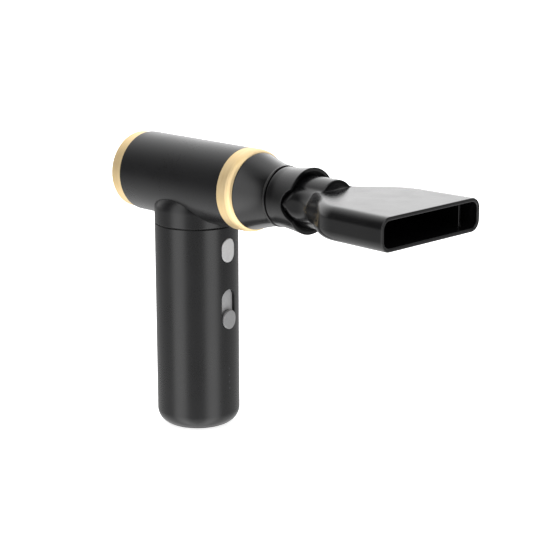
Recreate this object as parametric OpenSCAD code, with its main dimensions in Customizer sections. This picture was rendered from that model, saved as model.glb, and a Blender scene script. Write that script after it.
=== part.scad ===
// Cordless hand-held air blower with a pull-off, turning flat nozzle.
// Z is up. The origin is on the handle's axis, on the face it stands on.
// The barrel and the nozzle run along +X, and the button and slider face +X.

/* [Handle] */
// Outer radius of the handle tube
handle_r = 22.5; // [20:0.5:26]
// Height of the handle tube, up to the joint under the neck
handle_h = 111.9; // [111:0.1:113]
// Radius of the rounded bottom edge
base_round = 8.2; // [6:0.1:9]
// Wall of the aluminium handle tube
handle_wall = 1.6; // [1.2:0.1:1.6]
// Turn of the handle and its controls away from the barrel's line, in degrees
handle_turn = 6; // [0:0.5:8]

/* [Barrel] */
// Height of the barrel's axis above the base
barrel_z = 135.2; // [134.5:0.1:137]
// Outer radius of the barrel
barrel_r = 21.5; // [21.5:0.1:22]
// Wall of the barrel tube
barrel_wall = 1.5; // [1.2:0.1:1.5]
// X of the barrel tube's rear end
barrel_back = -37.6; // [-38:0.1:-37]
// X of the barrel tube's front end
barrel_front = 38.4; // [38:0.1:39]
// Length of the rear ring
rear_ring_len = 7.8; // [7:0.1:9]
// Length of the front ring
front_ring_len = 9.7; // [9:0.1:11]

/* [Fan and motor] */
// Inner radius of the air duct
duct_r = 17.2; // [17:0.1:17.4]
// Number of impeller blades
blade_count = 9; // [7:1:11]
// Number of guide vanes behind the impeller
vane_count = 7; // [5:1:9]
// Running gap between the blade tips and the duct
tip_gap = 0.35; // [0.2:0.05:0.6]
// Radius of the motor's shaft
shaft_r = 1.5; // [1.5:0.1:1.6]

/* [Nozzle] */
// X of the joint between the adapter and the turning nozzle
nozzle_seam = 67.4; // [66:0.1:69]
// X of the open mouth
mouth_x = 162.9; // [155:0.1:170]
// Outer half width of the mouth
mouth_half_w = 36; // [30:0.5:38]
// Outer half height of the flat body
mouth_half_h = 8.4; // [7.5:0.1:9]
// Corner radius of the mouth
mouth_round = 5.8; // [4:0.1:7]
// Outer radius of the round neck that enters the flat body
neck_r = 13.2; // [13:0.1:13.4]
// Wall of the moulded nozzle
nozzle_wall = 1.9; // [1.6:0.1:2.2]
// Depth of the two ribs' front edges inside the mouth
rib_depth = 7; // [3:0.1:10]

/* [Controls] */
// Height of the power button's middle
button_z = 99.3; // [98:0.1:100]
// Width of the button and of the slider's thumb piece
button_w = 10; // [8:0.1:10]
// Height of the power button
button_h = 13.1; // [12:0.1:14]
// Height of the slider slot's lower end
slot_z = 56; // [55:0.1:57]
// Length of the slider slot
slot_h = 21.9; // [21:0.1:22]
// Length of the slider's thumb piece
thumb_h = 10.4; // [10.2:0.1:10.6]
// Number of charge lights
light_count = 4; // [3:1:5]

/* [Battery] */
// Radius of one cell
cell_r = 9.2; // [9:0.05:9.25]
// Length of one cell
cell_h = 65; // [64:0.5:65]
// Height of the cells' lower ends
cell_z = 13; // [13:0.1:13.4]

/* [Hidden] */
$fn = 72;

handle_in = handle_r - handle_wall;
barrel_in = barrel_r - barrel_wall;
joint_gap = 0.6;
neck_z = handle_h + joint_gap;
sleeve_wall = 1.4;
sleeve_r = duct_r + sleeve_wall;
ring_back = barrel_back - rear_ring_len;
ring_front = barrel_front + front_ring_len;
fit = 0.2;

// The base cap takes the lower part of the rounded edge, up to these angles below level
cap_angle = 55;
shell_angle = 52;
flat_r = handle_r - base_round;
cap_plug_r = 17.9;
cap_plug_z = 2.6;
cap_plug_h = 3.2;
cap_boss_r = 2.6;

// The neck's side tucks in under the barrel along an arc of this radius
neck_round = 10.4;
neck_round_z = 119.9;
neck_top = 129;
neck_in = 17;
neck_foot = 104;

// Screws of two sizes, with their heads and hexagon sockets
small_screw_r = 1;
small_head_r = 1.9;
neck_screw_r = 1.1;
neck_head_r = 2.1;
head_h = 1.3;
socket_r = 1.1;
neck_screw_x = 19;
neck_screw_z = 107;
neck_head_z = barrel_z - barrel_in - 0.3;

board_x = 15.2;
board_t = 1.2;
board_face = board_x + board_t;
charge_z = 6.2;
holder_z = charge_z + board_t + 3.8;
holder_r = handle_in - 0.3;
holder_flat = board_x - 0.2;
strap_t = 0.3;
cell_gap = 0.4;
cell_pitch = (2 * cell_r + cell_gap) / sqrt(3);
board_bottom = 17;
board_top = button_z + 4;
upper_z = cell_z + cell_h - 4;
driver_z = upper_z + 10;
driver_t = 1.4;
cap_screw_ring = 12;
lead_x = -8;
lead_y = 13.9;
lead_r = 1.1;
grommet_r = 6;
port_x = -30;
port_z = 9;
port_w = 9;
port_h = 3.2;
port_len = 7.4;

shaft_back = -31;
shaft_front = 13;
hub_back = -28;
hub_front = -15;
hub_r = 9.6;
motor_r = 9.8;
motor_back = -13;
motor_front = 10;
motor_wall = 1.2;
bearing_r = 4;
bearing_w = 3;
stator_half = 6.5;
stator_in = 5.2;
tooth_count = 6;

plug_r = 17.1;
plug_back = 35;
spigot_r = 13.4;
spigot_end = 79;
neck_start = spigot_end + fit;
collar_end = 85;
neck_end = 102;
duct_start = 85;
shoulder_start = 89;
shoulder_end = 130;
shoulder_w = 15.2;
waist_w = 35;
crease_y = 10.3;
scoop_x = collar_end + 3;
scoop_r = 9;
wing_r = scoop_r - 0.4;
corner_end = 118;
rib_y = 29.3;
rib_t = 1.6;
rib_back = 136;
rib_front = mouth_x - rib_depth;

button_proud = 0.2;
thumb_proud = 1;
button_gap = 0.2;
cut_start = 15;
cut_end = 30;
plate_out = handle_in - 0.15;
plate_in = plate_out - 1.2;
plate_w = 12.4;
plate_z = slot_z - 11.5;
plate_h = 35;
light_pitch = 3.7;
light_z = 22.5;
light_r = 0.6;

// ---------------------------------------------------------------- helpers

// The handle and all that it holds are turned about the upright axis
module turned() {
    rotate([0, 0, handle_turn])
        children();
}

// Turns a profile of [radius, x] points about the barrel's axis
module spin_x(points) {
    translate([0, 0, barrel_z])
        rotate([0, 90, 0])
            rotate_extrude()
                polygon(points);
}

// Plain tube about the barrel's axis, from x0 to x1
module tube_x(outer, inner, x0, x1) {
    spin_x([[inner, x0], [outer, x0], [outer, x1], [inner, x1]]);
}

// Solid round bar about the barrel's axis
module bar_x(radius, x0, x1) {
    translate([x0, 0, barrel_z])
        rotate([0, 90, 0])
            cylinder(r = radius, h = x1 - x0);
}

// Stadium of width w and height h standing in the YZ plane, from x0 to x1
module stadium_x(w, h, x0, x1, z) {
    for (side = [-1, 1])
        translate([x0, 0, z + side * (h - w) / 2])
            rotate([0, 90, 0])
                cylinder(d = w, h = x1 - x0);
    translate([x0, -w / 2, z - (h - w) / 2])
        cube([x1 - x0, w, h - w]);
}

// Box given by its lowest corner and its size, centred on Y
module box_y(x, z, size) {
    translate([x, -size[1] / 2, z])
        cube(size);
}

// Points of an arc in [radius, height] form, angles measured below level
function low_arc(r, from, to, steps) = [for (i = [0:steps])
    let (a = from + (to - from) * i / steps) [flat_r + r * cos(a), base_round - r * sin(a)]];

// The cell centres: two beside the controls and one behind
function cell_at(i) = [cell_pitch * cos(60 + 120 * i), cell_pitch * sin(60 + 120 * i)];

module cell(i) {
    color("teal")
        turned()
            translate([cell_at(i)[0], cell_at(i)[1], cell_z])
                cylinder(r = cell_r, h = cell_h);
}

// The places of the three cap screws
module at_cap_screws() {
    for (a = [0, 120, 240])
        rotate([0, 0, a])
            translate([cap_screw_ring, 0, 0])
                children();
}

module at_battery_leads() {
    for (side = [-1, 1])
        translate([lead_x, side * lead_y, 0])
            children();
}

// ---------------------------------------------------------------- handle

module handle_shell() {
    hole = 2 * button_gap;
    cut = cut_end - cut_start;
    color("dimgray")
        turned()
            difference() {
                rotate_extrude($fn = 96)
                    polygon(concat(
                        [[cap_plug_r, low_arc(base_round, shell_angle, shell_angle, 1)[0][1]]],
                        low_arc(base_round, shell_angle, 0, 10),
                        [[handle_r, handle_h], [handle_in, handle_h]],
                        low_arc(base_round - handle_wall, 0, 57, 8),
                        [[cap_plug_r, cap_plug_z + 0.07]]));
                stadium_x(button_w + hole, button_h + hole, cut_start, cut_end, button_z);
                stadium_x(button_w + hole, slot_h, cut_start, cut_end, slot_z + slot_h / 2);
                for (i = [0:light_count - 1])
                    translate([cut_start, 0, light_z + i * light_pitch])
                        rotate([0, 90, 0])
                            cylinder(r = light_r, h = cut, $fn = 24);
                for (side = [-1, 1])
                    translate([port_x, side * (port_w - port_h) / 2, port_z])
                        rotate([0, 90, 0])
                            cylinder(d = port_h, h = cut, $fn = 32);
                box_y(port_x, port_z - port_h / 2, [cut, port_w - port_h, port_h]);
            }
}

module base_cap() {
    cap_top = low_arc(base_round, cap_angle, cap_angle, 1)[0][1];
    seat_z = 0.4 + head_h;
    color("black")
        turned()
            difference() {
                union() {
                    rotate_extrude($fn = 96)
                        polygon(concat([[0, 0]], low_arc(base_round, 90, cap_angle, 6),
                            [[cap_plug_r, cap_top], [cap_plug_r, cap_plug_z],
                            [cap_plug_r - 0.6, cap_plug_h], [0, cap_plug_h]]));
                    at_cap_screws() cylinder(r = cap_boss_r, h = charge_z);
                }
                at_cap_screws() {
                    translate([0, 0, -1]) cylinder(r = small_screw_r, h = charge_z + 2);
                    translate([0, 0, -1]) cylinder(r = small_head_r + 0.2, h = seat_z + 1);
                }
            }
}

module base_screws() {
    color("silver")
        turned()
            at_cap_screws()
                difference() {
                    union() {
                        translate([0, 0, 0.4]) cylinder(r = small_head_r, h = head_h);
                        translate([0, 0, 0.4]) cylinder(r = small_screw_r, h = holder_z - 1.4);
                    }
                    translate([0, 0, -1]) cylinder(r = socket_r, h = 2.2, $fn = 6);
                }
}

module neck_saddle() {
    tuck = [for (i = [0:8])
        let (z = neck_round_z + (neck_top - neck_round_z) * i / 8)
        [handle_r - neck_round + sqrt(pow(neck_round, 2) - pow(z - neck_round_z, 2)), z]];
    color("dimgray")
        difference() {
            rotate_extrude($fn = 96)
                polygon(concat([[neck_in, neck_foot], [handle_in, neck_foot], [handle_in, neck_z],
                    [handle_r, neck_z]], tuck, [[neck_in, neck_top]]));
            bar_x(barrel_r, -40, 40);
            for (side = [-1, 1])
                translate([side * neck_screw_x, 0, 100])
                    cylinder(r = neck_screw_r, h = 30, $fn = 32);
            turned() stadium_x(button_w + 3, button_h + 3, 10, cut_end, button_z);
        }
}

module neck_gasket() {
    color("black")
        difference() {
            translate([0, 0, handle_h]) cylinder(r = handle_r - 0.5, h = joint_gap);
            translate([0, 0, handle_h - 1]) cylinder(r = handle_in, h = 3);
        }
}

module neck_screws() {
    color("silver")
        for (side = [-1, 1])
            translate([side * neck_screw_x, 0, 0])
                difference() {
                    union() {
                        translate([0, 0, neck_screw_z])
                            cylinder(r = neck_screw_r, h = neck_head_z - neck_screw_z, $fn = 32);
                        translate([0, 0, neck_head_z])
                            cylinder(r = neck_head_r, h = head_h, $fn = 32);
                    }
                    translate([0, 0, neck_head_z + 0.5])
                        cylinder(r = socket_r, h = 2, $fn = 6);
                }
}

// ---------------------------------------------------------------- barrel

module barrel_shell() {
    color("dimgray")
        difference() {
            tube_x(barrel_r, barrel_in, barrel_back, barrel_front);
            translate([0, 0, 100]) cylinder(r = grommet_r, h = 25);
            for (side = [-1, 1])
                translate([side * neck_screw_x, 0, 0]) {
                    translate([0, 0, 105]) cylinder(r = neck_screw_r, h = 15, $fn = 32);
                    translate([0, 0, neck_head_z])
                        cylinder(r = neck_head_r + 0.2, h = 3, $fn = 32);
                }
        }
}

module front_ring() {
    color("goldenrod")
        spin_x([[sleeve_r, barrel_front], [barrel_r + 0.1, barrel_front],
            [barrel_r + 0.1, ring_front - 3.6], [21.3, ring_front - 2.2], [20.8, ring_front - 0.9],
            [20.1, ring_front], [sleeve_r, ring_front]]);
}

module rear_ring() {
    color("goldenrod")
        spin_x([[17.6, ring_back], [20.2, ring_back], [20.7, ring_back + 0.5],
            [20.95, barrel_back], [barrel_in, barrel_back], [barrel_in, -33], [18.8, -33],
            [18.8, -40], [17.6, -41.4]]);
}

module intake_grille() {
    color("black")
        union() {
            for (r = [4.2, 8.6, 13])
                tube_x(r, r - 1.4, ring_back + 0.5, ring_back + 2);
            tube_x(17.6, 16.2, ring_back + 0.5, ring_back + 2);
            for (a = [0:30:150])
                translate([ring_back + 0.5, 0, barrel_z])
                    rotate([a, 0, 0])
                        for (side = [-1, 1])
                            translate([0, side > 0 ? 3.5 : -17, -0.6])
                                cube([1.5, 13.5, 1.2]);
            bar_x(2.9, ring_back + 0.5, ring_back + 2);
        }
}

module intake_mesh() {
    pitch = 3.3;
    color("gray")
        difference() {
            bar_x(17.6, ring_back + 2, ring_back + 2.5);
            translate([ring_back + 1, 0, barrel_z])
                rotate([0, 90, 0])
                    for (i = [-4:4])
                        for (j = [-4:4])
                            if (abs(i + j) < 5)
                                translate([pitch * (i + j / 2), pitch * j * sqrt(3) / 2, 0])
                                    cylinder(d = 2.5, h = 3, $fn = 24);
        }
}

module duct_sleeve() {
    color("black")
        spin_x([[duct_r, -37], [sleeve_r - 0.2, -39.5], [sleeve_r, -39.5], [sleeve_r, 32],
            [duct_r, 32]]);
}

module rear_mount_ring() {
    color("black") tube_x(barrel_in, sleeve_r, -31, -28.5);
}

module front_mount_ring() {
    color("black") tube_x(barrel_in, sleeve_r, 24, 26.5);
}

module outlet_collar() {
    color("black")
        spin_x([[duct_r, 32], [barrel_in, 32], [barrel_in, barrel_front], [sleeve_r, barrel_front],
            [sleeve_r, ring_front - 1.4], [duct_r, ring_front - 1.4]]);
}

module wire_grommet() {
    color("black")
        intersection() {
            difference() {
                translate([0, 0, 100]) cylinder(r = grommet_r, h = 25);
                translate([0, 0, 99]) cylinder(r = grommet_r - 2, h = 27);
            }
            tube_x(barrel_r, barrel_in, -10, 10);
        }
}

// ---------------------------------------------------------------- motor

module motor_housing() {
    color("gray")
        union() {
            difference() {
                bar_x(motor_r, motor_back, motor_front);
                bar_x(motor_r - motor_wall, motor_back + bearing_w + 1, motor_front + 1);
                bar_x(bearing_r, motor_back + 1, motor_front);
                bar_x(shaft_r + 0.6, motor_back - 1, motor_front);
            }
            intersection() {
                tube_x(duct_r, motor_r, motor_back, motor_front);
                for (i = [0:vane_count - 1])
                    translate([-2, 0, barrel_z])
                        rotate([i * 360 / vane_count, 0, 0])
                            translate([0, 0, motor_r - 1])
                                rotate([0, 0, 24])
                                    translate([-9, -0.6, 0])
                                        cube([18, 1.2, 12]);
            }
        }
}

module motor_end_bell() {
    color("gray")
        difference() {
            bar_x(motor_r - motor_wall, motor_front - 1.5, motor_front + 3.5);
            bar_x(bearing_r, motor_front - 2, motor_front + 1.5);
            bar_x(shaft_r + 0.6, motor_front, motor_front + 5);
        }
}

module tail_cone() {
    cone_len = 19;
    start = motor_front + 3.5;
    bulge = [for (i = [0:10]) [motor_r * sin(90 - 9 * i), start + cone_len * sin(9 * i)]];
    inner = [for (i = [10:-1:0])
        [(motor_r - 1.2) * sin(90 - 9 * i), start + (cone_len - 2) * sin(9 * i)]];
    color("dimgray")
        union() {
            spin_x(concat(bulge, inner));
            tube_x(motor_r, motor_r - motor_wall, motor_front, start);
        }
}

module stator_core() {
    color("silver")
        difference() {
            tube_x(motor_r - motor_wall, stator_in, -stator_half, stator_half);
            for (i = [0:tooth_count - 1])
                translate([0, 0, barrel_z])
                    rotate([i * 360 / tooth_count, 0, 0])
                        translate([-10, -1.1, stator_in + 0.8])
                            cube([20, 2.2, 1.9]);
        }
}

module stator_coils() {
    color("orange")
        for (i = [0:tooth_count - 1])
            translate([0, 0, barrel_z])
                rotate([i * 360 / tooth_count, 0, 0])
                    translate([-stator_half - 1.6, -1.1, stator_in + 0.8])
                        cube([2 * stator_half + 3.2, 2.2, 1.9]);
}

module rear_bearing() {
    color("silver") tube_x(bearing_r, shaft_r + 0.03, motor_back + 1, motor_back + 1 + bearing_w);
}

module front_bearing() {
    color("silver")
        tube_x(bearing_r, shaft_r + 0.03, motor_front + 1.5 - bearing_w, motor_front + 1.5);
}

module motor_shaft() {
    color("silver") bar_x(shaft_r, shaft_back, shaft_front);
}

module rotor_magnet() {
    color("slategray") tube_x(4.7, shaft_r, -stator_half, stator_half);
}

module impeller() {
    blade_r = duct_r - tip_gap;
    mid = (hub_back + hub_front) / 2;
    color("lightgray")
        union() {
            spin_x([[shaft_r, hub_back], [5.2, hub_back], [7.6, hub_back + 4], [hub_r, hub_front - 3],
                [hub_r, hub_front], [shaft_r, hub_front]]);
            intersection() {
                tube_x(blade_r, 4.8, hub_back, hub_front);
                for (i = [0:blade_count - 1])
                    translate([mid, 0, barrel_z])
                        rotate([i * 360 / blade_count, 0, 0])
                            rotate([0, 0, -38])
                                translate([-9, -0.5, 4])
                                    cube([18, 1, 14]);
            }
        }
}

module hub_nut() {
    color("silver")
        difference() {
            translate([shaft_back + 0.4, 0, barrel_z])
                rotate([0, 90, 0])
                    cylinder(r = 3.1, h = hub_back - shaft_back - 0.4, $fn = 6);
            bar_x(shaft_r, shaft_back - 1, hub_back + 1);
        }
}

module motor_leads() {
    color("red")
        for (a = [0, 120, 240])
            rotate([0, 0, a])
                translate([2, 0, driver_z + driver_t])
                    cylinder(r = 0.9, h = barrel_z - sleeve_r - driver_z - driver_t - 0.05, $fn = 24);
}

// ---------------------------------------------------------------- battery

module cell_left() cell(2);

module cell_right() cell(0);

module cell_back() cell(1);

module cell_holder_lower() {
    post_h = holder_z - charge_z - board_t;
    color("white")
        turned()
            difference() {
                union() {
                    translate([0, 0, holder_z]) cylinder(r = holder_r, h = 5);
                    at_cap_screws()
                        translate([0, 0, charge_z + board_t])
                            cylinder(r = cap_boss_r - 0.2, h = post_h);
                }
                for (i = [0:2])
                    translate([cell_at(i)[0], cell_at(i)[1], cell_z - strap_t])
                        cylinder(r = cell_r, h = 10);
                at_battery_leads() cylinder(r = lead_r, h = 40, $fn = 24);
                at_cap_screws() cylinder(r = small_screw_r, h = holder_z - 1);
                box_y(holder_flat, 0, [20, 60, 40]);
                box_y(port_x, 0, [18.5, port_w + 1, port_z + port_h / 2 + 0.2]);
            }
}

module cell_holder_upper() {
    color("white")
        turned()
            difference() {
                union() {
                    translate([0, 0, upper_z]) cylinder(r = holder_r, h = 6);
                    for (a = [60, 180, 300])
                        rotate([0, 0, a])
                            translate([cap_screw_ring, 0, upper_z + 5])
                                cylinder(r = 2, h = driver_z - upper_z - 5);
                }
                for (i = [0:2])
                    translate([cell_at(i)[0], cell_at(i)[1], upper_z - 1])
                        cylinder(r = cell_r, h = cell_z + cell_h - upper_z + 1 + strap_t);
                at_battery_leads()
                    translate([0, 0, 60]) cylinder(r = lead_r, h = 40, $fn = 24);
                box_y(holder_flat, 60, [20, 60, 40]);
            }
}

module cell_straps() {
    color("lightgray")
        turned()
            for (i = [0:2])
                for (z = [cell_z - strap_t, cell_z + cell_h])
                    translate([cell_at(i)[0] - 5, cell_at(i)[1] - 3, z])
                        cube([10, 6, strap_t]);
}

module battery_leads() {
    color("crimson")
        turned()
            at_battery_leads()
                translate([0, 0, charge_z + board_t])
                    cylinder(r = lead_r, h = driver_z - charge_z - board_t, $fn = 24);
}

// ---------------------------------------------------------------- electronics

module charge_board() {
    color("darkgreen")
        turned()
            difference() {
                translate([0, 0, charge_z]) cylinder(r = 16.5, h = board_t);
                at_cap_screws() cylinder(r = small_screw_r, h = 20);
            }
}

module charge_port() {
    back = -sqrt(pow(handle_in, 2) - pow(port_w / 2, 2)) + 0.1;
    bottom = charge_z + board_t;
    color("silver")
        turned()
            difference() {
                union() {
                    for (side = [-1, 1])
                        translate([back, side * (port_w - port_h) / 2, port_z])
                            rotate([0, 90, 0])
                                cylinder(d = port_h, h = port_len, $fn = 32);
                    box_y(back, bottom, [port_len, port_w - port_h, port_h]);
                }
                for (side = [-1, 1])
                    translate([back - 1, side * (port_w - port_h) / 2, port_z])
                        rotate([0, 90, 0])
                            cylinder(d = port_h - 0.6, h = port_len, $fn = 32);
                box_y(back - 1, bottom + 0.3, [port_len, port_w - port_h, port_h - 0.6]);
            }
}

module control_board() {
    color("darkgreen")
        turned() box_y(board_x, board_bottom, [board_t, 16, board_top - board_bottom]);
}

module tact_switch() {
    color("dimgray")
        turned()
            difference() {
                box_y(board_face, button_z - 3, [1.8, 6, 6]);
                translate([board_face + 0.9, 0, button_z])
                    rotate([0, 90, 0])
                        cylinder(r = 1.8, h = 3);
            }
}

module slider_pot() {
    color("dimgray")
        turned()
            difference() {
                box_y(board_face, slot_z - 3, [2, 7, 28]);
                box_y(board_face + 0.8, slot_z - 1, [3, 2.4, 24]);
            }
}

module light_chips() {
    color("white")
        turned()
            for (i = [0:light_count - 1])
                box_y(board_face, light_z + i * light_pitch - 0.8, [0.7, 1.6, 1.6]);
}

module light_pipes() {
    bar_start = board_face + 1;
    color("lightblue")
        turned()
            union() {
                box_y(bar_start, light_z - 1.5, [1.6, 3, light_pitch * (light_count - 1) + 3]);
                for (i = [0:light_count - 1])
                    translate([bar_start + 0.6, 0, light_z + i * light_pitch])
                        rotate([0, 90, 0])
                            cylinder(r = light_r, h = handle_r - bar_start - 0.65, $fn = 24);
            }
}

module driver_board() {
    color("darkgreen")
        turned()
            difference() {
                translate([0, 0, driver_z]) cylinder(r = 18, h = driver_t);
                box_y(holder_flat, driver_z - 1, [20, 60, 5]);
            }
}

module driver_parts() {
    top = driver_z + driver_t;
    color("slategray")
        turned()
            union() {
                for (side = [-1, 1])
                    translate([-2, side * 10.5, top])
                        cylinder(r = 4, h = 10);
                for (side = [-1, 0, 1])
                    translate([-13, side * 5 - 2, top])
                        cube([3.5, 4, 2.2]);
                box_y(7, top, [5, 9, 5]);
            }
}

// ---------------------------------------------------------------- controls

module power_button() {
    flange_x = board_face + 2.6;
    color("lightgray")
        turned()
            union() {
                intersection() {
                    stadium_x(button_w, button_h, flange_x + 0.9, cut_end, button_z);
                    cylinder(r = handle_r + button_proud, h = handle_h);
                }
                stadium_x(button_w + 1.4, button_h + 1.4, flange_x, flange_x + 1, button_z);
                translate([board_face + 1.8, 0, button_z])
                    rotate([0, 90, 0])
                        cylinder(r = 1.7, h = 1);
            }
}

module slider_knob() {
    thumb_z = slot_z + 0.1 + thumb_h / 2;
    color("lightgray")
        turned()
            union() {
                intersection() {
                    stadium_x(button_w, thumb_h, plate_in + 0.4, cut_end, thumb_z);
                    cylinder(r = handle_r + thumb_proud, h = handle_h);
                }
                intersection() {
                    difference() {
                        translate([0, 0, plate_z]) cylinder(r = plate_out, h = plate_h);
                        translate([0, 0, plate_z - 1]) cylinder(r = plate_in, h = plate_h + 2);
                    }
                    box_y(10, plate_z - 1, [20, plate_w, plate_h + 2]);
                }
                box_y(board_face + 1.2, slot_z + 1, [plate_in - board_face - 0.9, 1.8, 3]);
            }
}

// ---------------------------------------------------------------- nozzle

module nozzle_adapter() {
    lip = ring_front + 0.1;
    color("black")
        spin_x([[15.6, plug_back], [plug_r - 0.5, plug_back], [plug_r, plug_back + 0.8],
            [plug_r, 39], [15.9, 39], [15.9, 41], [plug_r, 41], [plug_r, lip], [20, lip],
            [19.2, lip + 3], [17.9, 55], [16.9, 58.6], [16.1, 62.2], [15.65, 65.2],
            [15.5, nozzle_seam - 0.5], [15.2, nozzle_seam - 0.2], [spigot_r, nozzle_seam - 0.2],
            [spigot_r, spigot_end], [12.2, spigot_end], [12.2, 66], [15.6, 50]]);
}

module adapter_seal() {
    color("maroon")
        spin_x([[15.9, 39.1], [16.9, 39.1], [17.15, 39.5], [17.15, 40.5], [16.9, 40.9], [15.9, 40.9]]);
}

module nozzle_collar() {
    bore = spigot_r + 0.1;
    color("black")
        difference() {
            spin_x([[bore, nozzle_seam + 0.2], [15.2, nozzle_seam + 0.2], [15.5, nozzle_seam + 0.5],
                [15.55, 72], [15.9, 76], [16.5, 80], [17.1, collar_end], [neck_r, collar_end],
                [neck_r, neck_start], [bore, neck_start]]);
            for (side = [-1, 1])
                translate([scoop_x, side * 14, barrel_z])
                    rotate([90, 0, 0])
                        cylinder(r = scoop_r, h = 14, center = true);
        }
}

// Distance from the middle to a rounded rectangle's edge along the direction a
function edge_at(a, w, h, r) =
    let (c = abs(cos(a)), s = abs(sin(a)), mw = w - r, mh = h - r, b = mw * c + mh * s)
    w * s <= mh * c ? w / c
    : h * c <= mw * s ? h / s
    : b + sqrt(max(0, b * b - (mw * mw + mh * mh - r * r)));

// Smooth step from 0 to 1
function ease(t) = let (u = min(1, max(0, t))) u * u * (3 - 2 * u);

// How much the flat body widens towards the mouth, beyond its width at the shoulder
function widened(x, start, from) = (waist_w - from) * ease((x - start) / (shoulder_end - start))
    + (mouth_half_w - waist_w) * ease((x - shoulder_end) / (mouth_x - shoulder_end));

// Outside of the flat body at x: half width, half height, and corner radius. Its rear end
// is two round wings that lie in the collar's scoops
function body_w(x) = shoulder_w + widened(x, shoulder_start, shoulder_w);
function body_h(x) = min(mouth_half_h, 0.1 + sqrt(max(0, pow(wing_r, 2) - pow(max(0, scoop_x - x), 2))));
function squared(x) = (mouth_half_h - mouth_round) * ease((x - neck_end) / (corner_end - neck_end));
function body_r(x) = min(body_h(x) - 0.05 - squared(x), body_w(x) - crease_y);

// Air passage at x: half height, which starts round, and half width
function duct_h(x) = let (full = neck_r - nozzle_wall, low = mouth_half_h - nozzle_wall)
    full + (low - full) * ease((x - neck_start) / (neck_end - 3 - neck_start));
function duct_w(x) = neck_r - nozzle_wall + widened(x, duct_start, neck_r);

around = 64;
stations = concat([neck_start, 79.5, 80.1, 81, 82.4, 84.2, 86.5, 89], [for (x = [92:3:99]) x],
    [neck_end - 0.2, neck_end, neck_end + 0.01],
    [for (x = [105:4:shoulder_end]) x], [141, 152, mouth_x]);

// Directions are spread so that the tight corners get as many points as the flats
function way(i, w, h) = let (a = 360 * (i + 0.5) / around) atan2(h * sin(a), w * cos(a));
function outer_ring(x) = [for (i = [0:around - 1])
    let (a = way(i, body_w(x), mouth_half_h),
        d = edge_at(a, body_w(x), body_h(x), body_r(x)),
        e = x <= neck_end ? max(neck_r, d) : d)
    [x, e * cos(a), barrel_z + e * sin(a)]];
function inner_ring(x) = [for (i = [0:around - 1])
    let (w = duct_w(x),
        h = duct_h(x),
        a = way(i, w, h),
        d = edge_at(a, w, h, min(w, h) - 0.05 - squared(x)))
    [x, d * cos(a), barrel_z + d * sin(a)]];

// Stitches rings of points, outside then inside, into one closed skin
module skin(outer, inner) {
    rings = concat(outer, [for (k = [len(inner) - 1:-1:0]) inner[k]]);
    count = len(rings);
    points = [for (ring = rings) each ring];
    faces = [for (k = [0:count - 1]) for (i = [0:around - 1])
        let (a = k * around + i, b = k * around + (i + 1) % around,
            c = ((k + 1) % count) * around + (i + 1) % around, d = ((k + 1) % count) * around + i)
        each [[a, c, b], [a, d, c]]];
    polyhedron(points, faces, convexity = 6);
}

module flat_nozzle() {
    rib_h = 2 * (mouth_half_h - nozzle_wall) + 1;
    color("black")
        union() {
            skin([for (x = stations) outer_ring(x)], [for (x = stations) inner_ring(x)]);
            for (side = [-1, 1])
                translate([rib_back, side * rib_y - rib_t / 2, barrel_z - rib_h / 2])
                    cube([rib_front - rib_back, rib_t, rib_h]);
        }
}

handle_shell();
base_cap();
base_screws();
neck_saddle();
neck_gasket();
neck_screws();
barrel_shell();
front_ring();
rear_ring();
intake_grille();
intake_mesh();
duct_sleeve();
rear_mount_ring();
front_mount_ring();
motor_housing();
motor_end_bell();
tail_cone();
stator_core();
stator_coils();
rear_bearing();
front_bearing();
outlet_collar();
wire_grommet();
motor_leads();
cell_left();
cell_right();
cell_back();
cell_holder_lower();
cell_holder_upper();
cell_straps();
battery_leads();
charge_board();
charge_port();
control_board();
tact_switch();
slider_pot();
light_chips();
light_pipes();
driver_board();
driver_parts();
motor_shaft();
rotor_magnet();
impeller();
hub_nut();
power_button();
slider_knob();
nozzle_adapter();
adapter_seal();
nozzle_collar();
flat_nozzle();
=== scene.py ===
import math

import bmesh
import bpy
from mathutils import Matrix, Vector


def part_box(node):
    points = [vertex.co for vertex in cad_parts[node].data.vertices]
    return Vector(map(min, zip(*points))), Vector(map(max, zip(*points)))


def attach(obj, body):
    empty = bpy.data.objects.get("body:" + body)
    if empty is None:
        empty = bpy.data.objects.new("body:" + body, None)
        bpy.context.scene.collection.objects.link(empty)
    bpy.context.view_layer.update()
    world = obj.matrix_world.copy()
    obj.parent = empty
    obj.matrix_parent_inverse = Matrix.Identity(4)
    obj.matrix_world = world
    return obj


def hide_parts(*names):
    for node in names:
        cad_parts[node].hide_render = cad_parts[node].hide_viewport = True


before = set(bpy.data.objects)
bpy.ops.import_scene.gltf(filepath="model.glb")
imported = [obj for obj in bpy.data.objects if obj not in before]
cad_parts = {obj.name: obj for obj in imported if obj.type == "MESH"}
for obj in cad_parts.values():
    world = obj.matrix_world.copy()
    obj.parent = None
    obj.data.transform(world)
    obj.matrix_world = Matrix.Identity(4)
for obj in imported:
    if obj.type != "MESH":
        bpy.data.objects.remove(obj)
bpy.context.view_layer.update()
scene = bpy.context.scene

# ---------------------------------------------------------------- camera and studio
# A product table: the tool stands on white opal acrylic in a light tent. A white cove is
# behind it, two tall strip boxes stand at right angles to its flanks, and the room in
# front is dark. The tent is far away, so its light depends on direction alone.

AZIMUTH = math.radians(44.488)
ELEVATION = math.radians(14.274)
CAMERA_DISTANCE = 0.9
CAMERA_LENS = 107.4
SENSOR_WIDTH = 36
CAMERA_TARGET = Vector((0.0367, 0.0267, 0.0812))

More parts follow.
